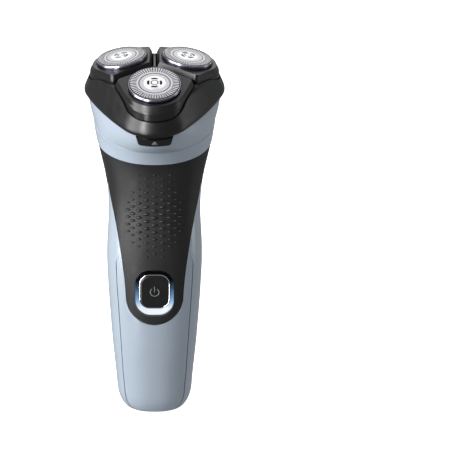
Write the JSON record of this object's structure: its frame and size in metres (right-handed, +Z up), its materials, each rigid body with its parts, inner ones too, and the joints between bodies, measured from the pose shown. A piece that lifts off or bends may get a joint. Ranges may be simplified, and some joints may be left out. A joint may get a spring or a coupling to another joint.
{
  "type": "rotary electric shaver",
  "caption": "Hand-held rotary shaver with a leaning three-head unit on a tapered handle, with an opening head, power button, pop-up trimmer and charging inlet.",
  "frame": {"origin": "a point on the handle's flat foot, at the middle of its width, below the front half of the charging inlet's edge", "axes": "+Z up the handle, +Y towards the back, -Y the front with the power button, +X to the right as the front is seen"},
  "size_m": [0.0596, 0.0557, 0.1616],
  "materials": {
    "handle_blue": "satin light blue",
    "grip_black": "soft matte black",
    "unit_black": "satin black",
    "button_black": "satin black",
    "trimmer_grey": "satin dark grey",
    "chrome_trim": "polished",
    "guard_steel": "turned",
    "badge_chrome": "satin chrome",
    "blade_steel": "ground",
    "nylon_white": "natural nylon",
    "frame_black": "moulded",
    "seal_rubber": "matte",
    "steel": "plain",
    "cell_wrap": "printed sleeve",
    "contact_brass": "plated",
    "board_green": "solder mask",
    "light_plastic": "translucent",
    "switch_black": "moulded"
  },
  "bodies": {
    "handle": {"rear_housing": "handle_blue", "front_panel": "handle_blue", "grip_panel": "grip_black", "collar": "handle_blue", "deck_plate": "frame_black", "deck_seals": "seal_rubber", "gear_plate": "frame_black", "gear_axles": "steel", "motor_can": "steel", "battery_cell": "cell_wrap", "battery_contacts": "contact_brass", "circuit_board": "board_green", "charging_socket": "frame_black", "socket_pins": "contact_brass", "light_ring": "light_plastic", "inner_frame": "frame_black", "frame_screws": "steel", "power_switch": "switch_black", "hinge_pin": "steel", "trimmer_pin": "steel", "release_spring": "steel"},
    "motor_rotor": {"motor_shaft": "steel", "motor_pinion": "nylon_white"},
    "shaving_unit": {"unit_shell": "unit_black", "pod_pins": "steel"},
    "power_button": {"power_button": "button_black", "power_button_trim": "chrome_trim"},
    "release_button": {"release_button": "button_black"},
    "trimmer": {"trimmer_arm": "trimmer_grey", "trimmer_comb": "blade_steel"},
    "trimmer_blade": {"trimmer_blade": "blade_steel"},
    "trimmer_switch": {"trimmer_switch": "button_black"},
    "drive_gear_0": {"drive_gear_0": "nylon_white"},
    "spindle_0": {"spindle_0": "nylon_white", "spindle_spring_0": "steel"},
    "pod_0": {"pod_0": "unit_black", "head_retainer_0": "nylon_white"},
    "head_0": {"guard_0": "guard_steel", "guard_badge_0": "badge_chrome"},
    "cutter_0": {"cutter_0": "blade_steel", "cutter_hub_0": "nylon_white"},
    "drive_gear_1": {"drive_gear_1": "nylon_white"},
    "spindle_1": {"spindle_1": "nylon_white", "spindle_spring_1": "steel"},
    "pod_1": {"pod_1": "unit_black", "head_retainer_1": "nylon_white"},
    "head_1": {"guard_1": "guard_steel", "guard_badge_1": "badge_chrome"},
    "cutter_1": {"cutter_1": "blade_steel", "cutter_hub_1": "nylon_white"},
    "drive_gear_2": {"drive_gear_2": "nylon_white"},
    "spindle_2": {"spindle_2": "nylon_white", "spindle_spring_2": "steel"},
    "pod_2": {"pod_2": "unit_black", "head_retainer_2": "nylon_white"},
    "head_2": {"guard_2": "guard_steel", "guard_badge_2": "badge_chrome"},
    "cutter_2": {"cutter_2": "blade_steel", "cutter_hub_2": "nylon_white"}
  },
  "joints": [
    {"name": "motor_spin", "type": "hinge", "parent": "handle", "child": "motor_rotor", "pos_m": [0, 0.00118, 0.13748], "axis": [0, -0.309, 0.9511], "continuous": true},
    {"name": "gear_spin_0", "type": "hinge", "parent": "handle", "child": "drive_gear_0", "pos_m": [0, -0.01071, 0.13362], "axis": [0, -0.309, 0.9511], "continuous": true},
    {"name": "spindle_spin_0", "type": "hinge", "parent": "handle", "child": "spindle_0", "pos_m": [0, -0.01075, 0.13376], "axis": [0, -0.4695, 0.8829], "continuous": true},
    {"name": "gear_spin_1", "type": "hinge", "parent": "handle", "child": "drive_gear_1", "pos_m": [0.01082, 0.00712, 0.13941], "axis": [0, -0.309, 0.9511], "continuous": true},
    {"name": "spindle_spin_1", "type": "hinge", "parent": "handle", "child": "spindle_1", "pos_m": [0.01082, 0.00708, 0.13955], "axis": [0.1504, -0.2217, 0.9634], "continuous": true},
    {"name": "gear_spin_2", "type": "hinge", "parent": "handle", "child": "drive_gear_2", "pos_m": [-0.01082, 0.00712, 0.13941], "axis": [0, -0.309, 0.9511], "continuous": true},
    {"name": "spindle_spin_2", "type": "hinge", "parent": "handle", "child": "spindle_2", "pos_m": [-0.01082, 0.00708, 0.13955], "axis": [-0.1504, -0.2217, 0.9634], "continuous": true},
    {"name": "unit_open", "type": "hinge", "parent": "handle", "child": "shaving_unit", "pos_m": [0, 0.02339, 0.1468], "axis": [-1, 0, 0], "range_deg": [0, 110]},
    {"name": "pod_tilt_0", "type": "hinge", "parent": "shaving_unit", "child": "pod_0", "pos_m": [0, -0.01283, 0.14502], "axis": [1, 0, 0], "range_deg": [-3, 3], "stiffness_Nm_per_rad": 0.1},
    {"name": "head_float_0", "type": "slide", "parent": "pod_0", "child": "head_0", "axis": [0, -0.4695, 0.8829], "range_m": [-0.001, 0], "stiffness_N_per_m": 300, "springref_m": 0.0002},
    {"name": "cutter_spin_0", "type": "hinge", "parent": "head_0", "child": "cutter_0", "pos_m": [0, -0.01834, 0.14802], "axis": [0, -0.4695, 0.8829], "continuous": true},
    {"name": "pod_tilt_1", "type": "hinge", "parent": "shaving_unit", "child": "pod_1", "pos_m": [0.00953, 0.00286, 0.15012], "axis": [-0.5, 0.8236, 0.2676], "range_deg": [-3, 3], "stiffness_Nm_per_rad": 0.1},
    {"name": "head_float_1", "type": "slide", "parent": "pod_1", "child": "head_1", "axis": [0.1504, -0.2217, 0.9634], "range_m": [-0.001, 0], "stiffness_N_per_m": 300, "springref_m": 0.0002},
    {"name": "cutter_spin_1", "type": "hinge", "parent": "head_1", "child": "cutter_1", "pos_m": [0.01325, 0.00349, 0.15512], "axis": [0.1504, -0.2217, 0.9634], "continuous": true},
    {"name": "pod_tilt_2", "type": "hinge", "parent": "shaving_unit", "child": "pod_2", "pos_m": [-0.00953, 0.00286, 0.15012], "axis": [-0.5, -0.8236, -0.2676], "range_deg": [-3, 3], "stiffness_Nm_per_rad": 0.1},
    {"name": "head_float_2", "type": "slide", "parent": "pod_2", "child": "head_2", "axis": [-0.1504, -0.2217, 0.9634], "range_m": [-0.001, 0], "stiffness_N_per_m": 300, "springref_m": 0.0002},
    {"name": "cutter_spin_2", "type": "hinge", "parent": "head_2", "child": "cutter_2", "pos_m": [-0.01325, 0.00349, 0.15512], "axis": [-0.1504, -0.2217, 0.9634], "continuous": true},
    {"name": "power_button_press", "type": "slide", "parent": "handle", "child": "power_button", "axis": [0, 1, 0], "range_m": [0, 0.0008], "stiffness_N_per_m": 500, "springref_m": -0.0002},
    {"name": "release_button_press", "type": "slide", "parent": "handle", "child": "release_button", "axis": [0, 0.9511, 0.309], "range_m": [0, 0.0012], "stiffness_N_per_m": 400, "springref_m": -0.0002, "deforming": ["release_spring"]},
    {"name": "trimmer_open", "type": "hinge", "parent": "handle", "child": "trimmer", "pos_m": [0, 0.01812, 0.09883], "axis": [-1, 0, 0], "range_deg": [0, 55]},
    {"name": "trimmer_blade_stroke", "type": "slide", "parent": "trimmer", "child": "trimmer_blade", "axis": [1, 0, 0], "range_m": [-0.0006, 0.0006]},
    {"name": "trimmer_switch_slide", "type": "slide", "parent": "handle", "child": "trimmer_switch", "axis": [0, 0.0461, 0.9989], "range_m": [0, 0.003]}
  ],
  "couplings": [
    {"joint": "gear_spin_0", "follows": "motor_spin", "ratio": -0.42857},
    {"joint": "spindle_spin_0", "follows": "motor_spin", "ratio": -0.42857},
    {"joint": "gear_spin_1", "follows": "motor_spin", "ratio": -0.42857},
    {"joint": "spindle_spin_1", "follows": "motor_spin", "ratio": -0.42857},
    {"joint": "gear_spin_2", "follows": "motor_spin", "ratio": -0.42857},
    {"joint": "spindle_spin_2", "follows": "motor_spin", "ratio": -0.42857},
    {"joint": "cutter_spin_0", "follows": "motor_spin", "ratio": -0.42857},
    {"joint": "cutter_spin_1", "follows": "motor_spin", "ratio": -0.42857},
    {"joint": "cutter_spin_2", "follows": "motor_spin", "ratio": -0.42857}
  ]
}
